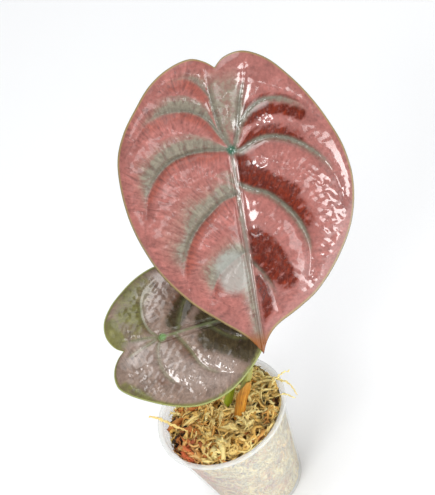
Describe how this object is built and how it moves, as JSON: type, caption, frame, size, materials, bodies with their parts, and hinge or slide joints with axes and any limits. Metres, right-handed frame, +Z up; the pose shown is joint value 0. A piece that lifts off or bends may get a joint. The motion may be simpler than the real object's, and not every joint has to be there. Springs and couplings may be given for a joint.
{
  "type": "alocasia",
  "caption": "Young jewel alocasia in a clear nursery pot: two heart-shaped, puckered leaves on slender stalks, one coppery pink and one olive, rooted in pale moss.",
  "frame": {"origin": "centre of the pot's flat base, on the surface that it stands on", "axes": "+Z up, out of the pot; the front, where both leaf blades show their faces, is towards -Y; the large leaf leans to +X"},
  "size_m": [0.1583, 0.0874, 0.2539],
  "materials": {
    "clear_plastic": "thin milky clear plastic, slightly wavy",
    "moss": "dry stringy moss, straw to orange-brown",
    "corm_skin": "matt brown skin with rings",
    "root_skin": "matt pale cream",
    "large_leaf": "glossy puckered copper-pink skin with grey-green over the veins",
    "small_leaf": "semi-gloss olive and dusty pink skin with green margins",
    "stalk": "smooth semi-gloss green with fine lengthwise lines",
    "dry_sheath": "papery orange-brown, ribbed lengthwise"
  },
  "bodies": {
    "root": {"pot": "clear_plastic", "moss_bed": "moss", "moss_strand_1": "moss", "moss_strand_2": "moss", "moss_strand_3": "moss", "moss_strand_4": "moss", "moss_strand_5": "moss", "moss_strand_6": "moss", "moss_strand_7": "moss", "moss_strand_8": "moss", "moss_strand_9": "moss", "rim_strand_1": "moss", "rim_strand_2": "moss", "rim_strand_3": "moss", "rim_strand_4": "moss", "corm": "corm_skin", "root_1": "root_skin", "root_2": "root_skin", "root_3": "root_skin", "root_4": "root_skin", "root_5": "root_skin", "large_leaf_blade": "large_leaf", "small_leaf_blade": "small_leaf", "large_leaf_petiole": "stalk", "small_leaf_petiole": "stalk", "leaf_sheath": "dry_sheath"}
  },
  "joints": []
}
